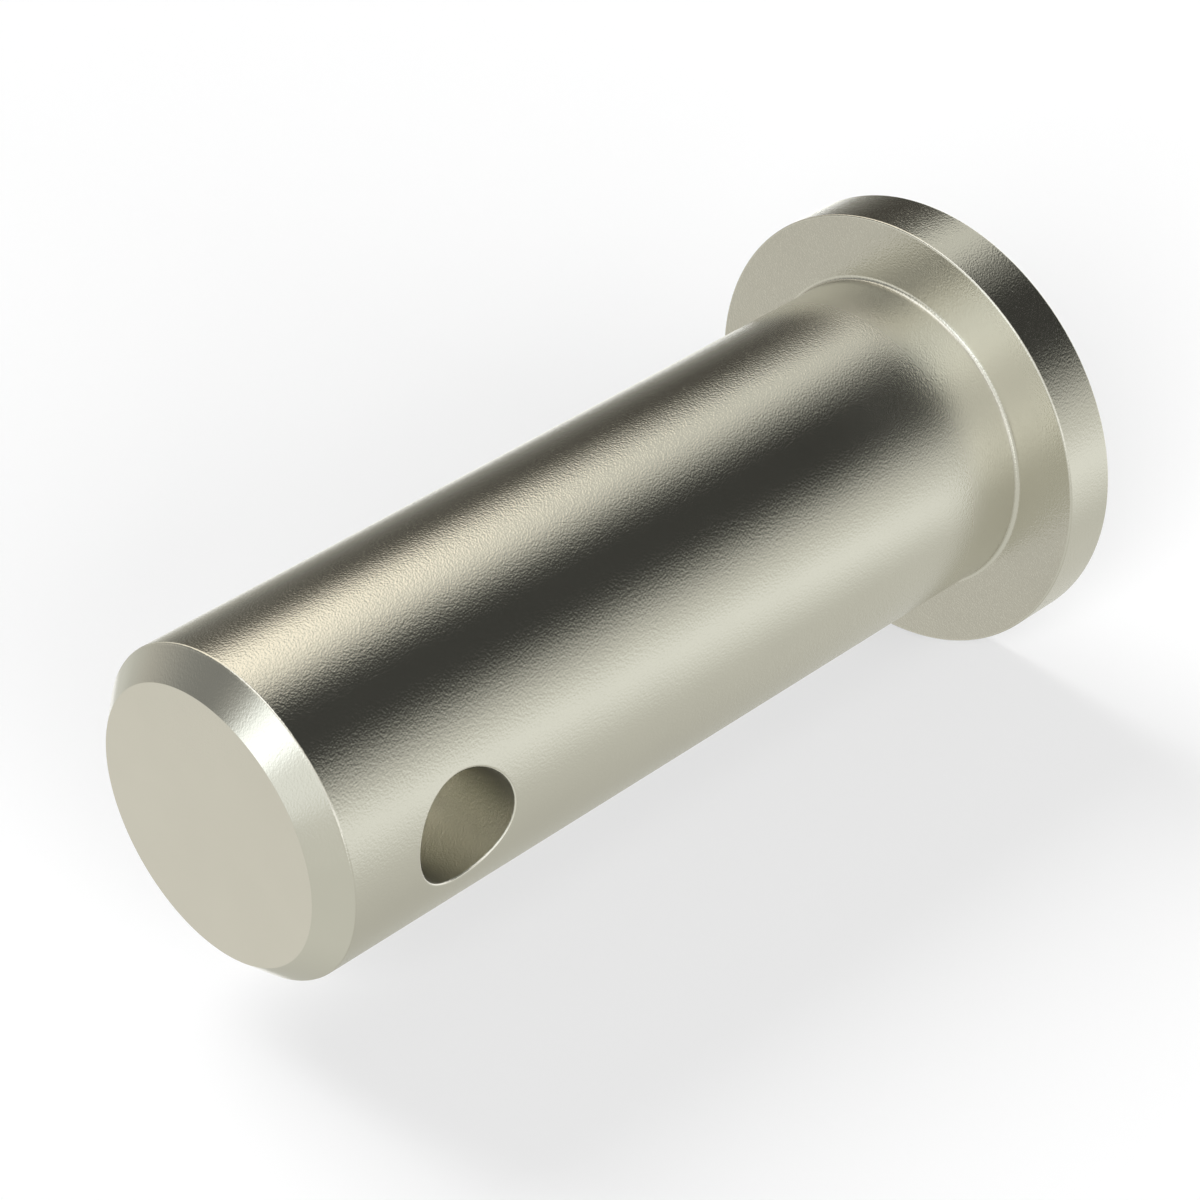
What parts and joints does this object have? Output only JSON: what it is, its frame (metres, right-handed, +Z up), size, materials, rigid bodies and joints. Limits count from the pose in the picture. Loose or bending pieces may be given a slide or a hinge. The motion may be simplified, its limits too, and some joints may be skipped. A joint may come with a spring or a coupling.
{
  "type": "clevis pin",
  "caption": "Steel clevis pin with a thin flat head, a plain shank, a chamfered point and a cross hole for a cotter pin.",
  "frame": {"origin": "middle of the head's flat back face, the lowest point of the pin as it stands on its head", "axes": "+Z up along the shank from the head to the point, +Y along the cross hole, +X across it"},
  "size_m": [0.0112, 0.0112, 0.023],
  "materials": {
    "steel": "satin, plated, warm light grey, with a fine grain"
  },
  "bodies": {
    "root": {"clevis_pin": "steel"}
  },
  "joints": []
}
